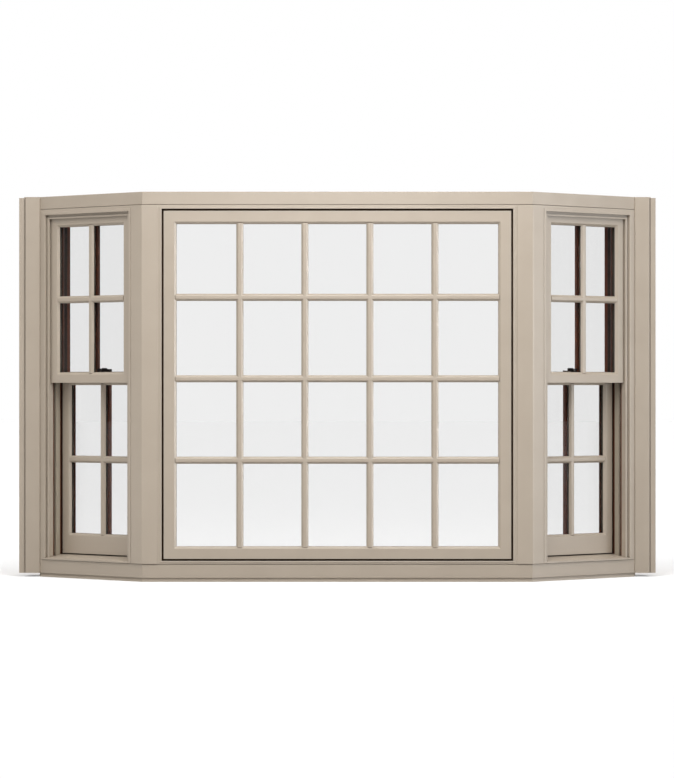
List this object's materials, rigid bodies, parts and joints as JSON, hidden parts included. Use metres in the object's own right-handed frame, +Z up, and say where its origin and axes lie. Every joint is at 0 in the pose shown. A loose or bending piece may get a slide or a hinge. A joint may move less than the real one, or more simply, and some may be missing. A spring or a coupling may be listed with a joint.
{
  "type": "bay window",
  "caption": "Angled bay window: a fixed picture window between double-hung side windows, clad outside and stained wood inside, with head and seat boards.",
  "frame": {"origin": "middle of the underside of the whole bay, halfway between its front face and its room face", "axes": "+Z up, +X to the right seen from outside, +Y into the room, so the front faces -Y"},
  "size_m": [2.0458, 0.4614, 1.22],
  "materials": {
    "painted_cladding": "satin",
    "stained_wood": "satin",
    "veneered_board": "satin",
    "post_timber": "matte",
    "soffit_panel": "matte",
    "glass": "clear",
    "spacer": "matte",
    "jamb_liner": "matte",
    "lock_bronze": "satin"
  },
  "bodies": {
    "root": {"centre_frame_cladding": "painted_cladding", "centre_frame_wood": "stained_wood", "centre_glass": "glass", "centre_sash_cladding": "painted_cladding", "centre_sash_wood": "stained_wood", "front_head_fascia": "painted_cladding", "front_sill_fascia": "painted_cladding", "glass_spacers": "spacer", "head_board": "veneered_board", "left_corner_cover": "painted_cladding", "left_corner_post": "stained_wood", "left_corner_trim": "stained_wood", "left_frame_cladding": "painted_cladding", "left_frame_wood": "stained_wood", "left_glass": "glass", "left_head_fascia": "painted_cladding", "left_jamb_liners": "jamb_liner", "left_lower_sash_cladding": "painted_cladding", "left_lower_sash_wood": "stained_wood", "left_sash_lock": "lock_bronze", "left_sill": "painted_cladding", "left_sill_fascia": "painted_cladding", "left_upper_sash_cladding": "painted_cladding", "left_upper_sash_wood": "stained_wood", "left_wall_cover": "painted_cladding", "left_wall_post": "post_timber", "right_corner_cover": "painted_cladding", "right_corner_post": "stained_wood", "right_corner_trim": "stained_wood", "right_frame_cladding": "painted_cladding", "right_frame_wood": "stained_wood", "right_glass": "glass", "right_head_fascia": "painted_cladding", "right_jamb_liners": "jamb_liner", "right_lower_sash_cladding": "painted_cladding", "right_lower_sash_wood": "stained_wood", "right_sash_lock": "lock_bronze", "right_sill": "painted_cladding", "right_sill_fascia": "painted_cladding", "right_upper_sash_cladding": "painted_cladding", "right_upper_sash_wood": "stained_wood", "right_wall_cover": "painted_cladding", "right_wall_post": "post_timber", "seat_base": "soffit_panel", "seat_board": "veneered_board"}
  },
  "joints": []
}
